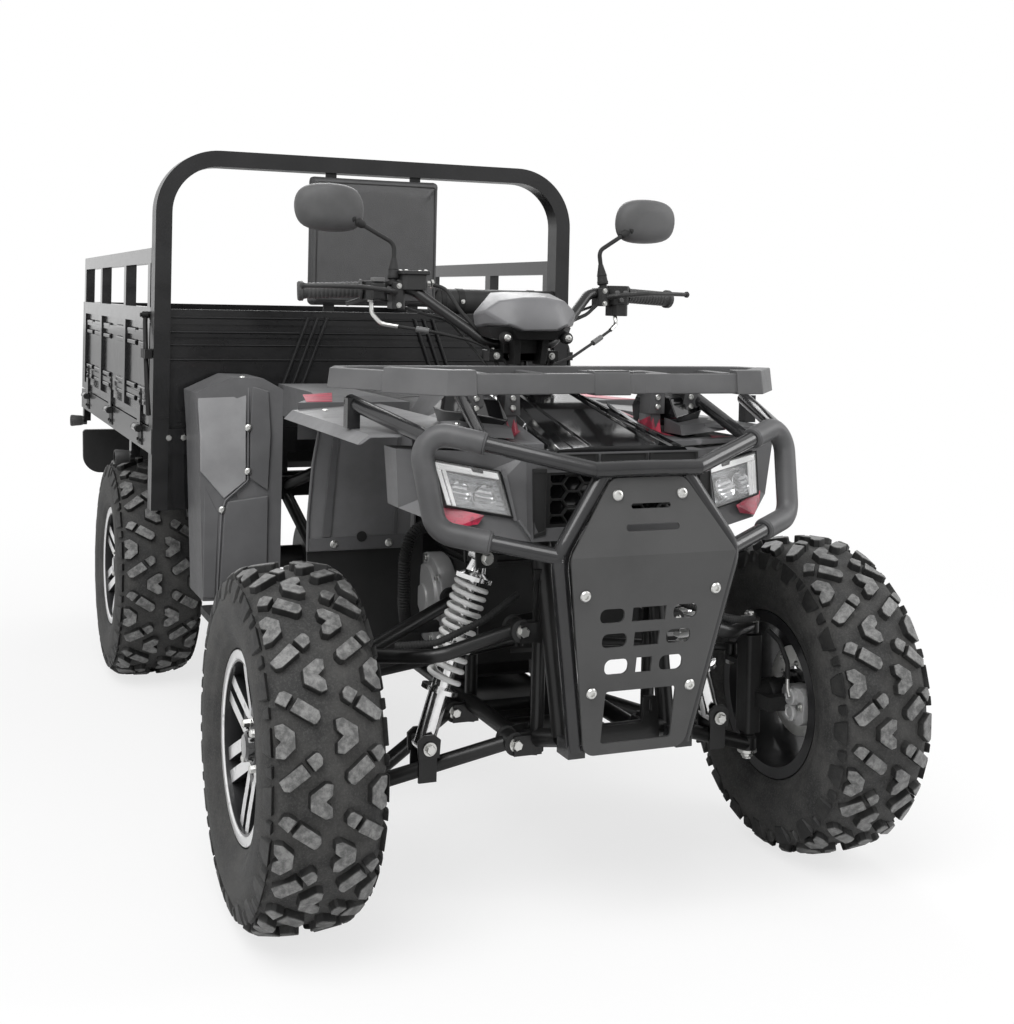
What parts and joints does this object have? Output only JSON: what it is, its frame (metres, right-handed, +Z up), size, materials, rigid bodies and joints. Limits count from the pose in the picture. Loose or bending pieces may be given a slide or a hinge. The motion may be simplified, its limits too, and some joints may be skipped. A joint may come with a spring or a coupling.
{
  "type": "utility quad bike with cargo bed",
  "caption": "Utility quad bike with a straddle seat and handlebar, a tipping cargo bed with drop sides behind a hoop, a front rack and a tubular bumper.",
  "frame": {"origin": "on the ground under the middle of the whole vehicle", "axes": "+Z up, -Y towards the nose, +X towards the vehicle's own left side"},
  "size_m": [1.2924, 3.2899, 1.4839],
  "materials": {
    "tyre": "worn matt",
    "rim": "machined faces over black",
    "cast": "as cast",
    "steel": "dull",
    "frame": "satin black",
    "chrome": "polished",
    "spring": "gloss white",
    "bumper": "satin dark grey",
    "black_plastic": "grained",
    "gloss_black": "gloss",
    "body": "satin dark grey",
    "lamp": "clear lens",
    "tail_lamp": "red lens",
    "vinyl": "grained vinyl",
    "rack": "grained",
    "rubber": "matt",
    "controls": "matt",
    "bed_frame": "gloss black",
    "bed_sheet": "gloss black"
  },
  "bodies": {
    "chassis": {"main_frame": "frame", "frame_cross_tubes": "frame", "skid_plate": "frame", "bed_rails": "frame", "bed_cross_members": "frame", "engine_block": "cast", "exhaust": "steel", "front_arms": "frame", "shock_dampers": "chrome", "shock_springs": "spring", "rear_axle": "frame", "bumper_frame": "bumper", "bumper_plate": "bumper", "nose": "black_plastic", "nose_grille": "black_plastic", "headlamps": "lamp", "bonnet": "gloss_black", "cowl_panels": "body", "front_fenders": "body", "footwells": "black_plastic", "rear_guards": "body", "seat_base": "black_plastic", "seat": "vinyl", "front_rack": "rack", "rear_panel": "bed_frame", "tail_lamps": "tail_lamp"},
    "steering": {"steering_column": "frame", "handlebar": "frame", "grips": "rubber", "hand_controls": "controls", "mirrors": "black_plastic", "dash": "body"},
    "knuckle_right": {"knuckle_right": "cast"},
    "knuckle_left": {"knuckle_left": "cast"},
    "tie_rod_right": {"tie_rod_right": "steel"},
    "tie_rod_left": {"tie_rod_left": "steel"},
    "front_wheel_right": {"tyre_front_right": "tyre", "rim_front_right": "rim"},
    "front_wheel_left": {"tyre_front_left": "tyre", "rim_front_left": "rim"},
    "rear_wheel_right": {"tyre_rear_right": "tyre", "rim_rear_right": "rim"},
    "rear_wheel_left": {"tyre_rear_left": "tyre", "rim_rear_left": "rim"},
    "bed": {"bed_deck": "bed_frame", "bed_front_wall": "bed_sheet", "bed_hoop": "bed_frame", "backrest": "vinyl", "tool_tube": "bed_frame"},
    "side_gate_right": {"side_gate_right": "bed_frame", "gate_rails_right": "bed_frame"},
    "side_gate_left": {"side_gate_left": "bed_frame", "gate_rails_left": "bed_frame"},
    "tailgate": {"tailgate": "bed_frame"}
  },
  "joints": [
    {"name": "steer", "type": "hinge", "parent": "chassis", "child": "steering", "pos_m": [0, -1.1983, 0.425], "axis": [0, 0.2576, 0.9663], "range_deg": [-32, 32]},
    {"name": "kingpin_right", "type": "hinge", "parent": "chassis", "child": "knuckle_right", "pos_m": [-0.413, -1.295, 0.317], "axis": [0, 0, 1], "range_deg": [-32, 32]},
    {"name": "tie_rod_eye_right", "type": "hinge", "parent": "knuckle_right", "child": "tie_rod_right", "pos_m": [-0.413, -1.223, 0.399], "axis": [0, 0, 1], "range_deg": [-32, 32]},
    {"name": "front_spin_right", "type": "hinge", "parent": "knuckle_right", "child": "front_wheel_right", "pos_m": [-0.541, -1.295, 0.317], "axis": [1, 0, 0], "continuous": true},
    {"name": "rear_spin_right", "type": "hinge", "parent": "chassis", "child": "rear_wheel_right", "pos_m": [-0.52, 0.483, 0.317], "axis": [1, 0, 0], "continuous": true},
    {"name": "kingpin_left", "type": "hinge", "parent": "chassis", "child": "knuckle_left", "pos_m": [0.413, -1.295, 0.317], "axis": [0, 0, 1], "range_deg": [-32, 32]},
    {"name": "tie_rod_eye_left", "type": "hinge", "parent": "knuckle_left", "child": "tie_rod_left", "pos_m": [0.413, -1.223, 0.399], "axis": [0, 0, 1], "range_deg": [-32, 32]},
    {"name": "front_spin_left", "type": "hinge", "parent": "knuckle_left", "child": "front_wheel_left", "pos_m": [0.541, -1.295, 0.317], "axis": [1, 0, 0], "continuous": true},
    {"name": "rear_spin_left", "type": "hinge", "parent": "chassis", "child": "rear_wheel_left", "pos_m": [0.52, 0.483, 0.317], "axis": [1, 0, 0], "continuous": true},
    {"name": "bed_tip", "type": "hinge", "parent": "chassis", "child": "bed", "pos_m": [0, 1.555, 0.655], "axis": [-1, 0, 0], "range_deg": [0, 45]},
    {"name": "side_gate_drop_right", "type": "hinge", "parent": "bed", "child": "side_gate_right", "pos_m": [-0.601, 0.8, 0.745], "axis": [0, -1, 0], "range_deg": [0, 165]},
    {"name": "side_gate_drop_left", "type": "hinge", "parent": "bed", "child": "side_gate_left", "pos_m": [0.601, 0.8, 0.745], "axis": [0, 1, 0], "range_deg": [0, 165]},
    {"name": "tailgate_drop", "type": "hinge", "parent": "bed", "child": "tailgate", "pos_m": [0, 1.624, 0.745], "axis": [-1, 0, 0], "range_deg": [0, 90]}
  ],
  "couplings": [
    {"joint": "kingpin_right", "follows": "steer", "ratio": 1},
    {"joint": "tie_rod_eye_right", "follows": "steer", "ratio": -1},
    {"joint": "kingpin_left", "follows": "steer", "ratio": 1},
    {"joint": "tie_rod_eye_left", "follows": "steer", "ratio": -1}
  ]
}
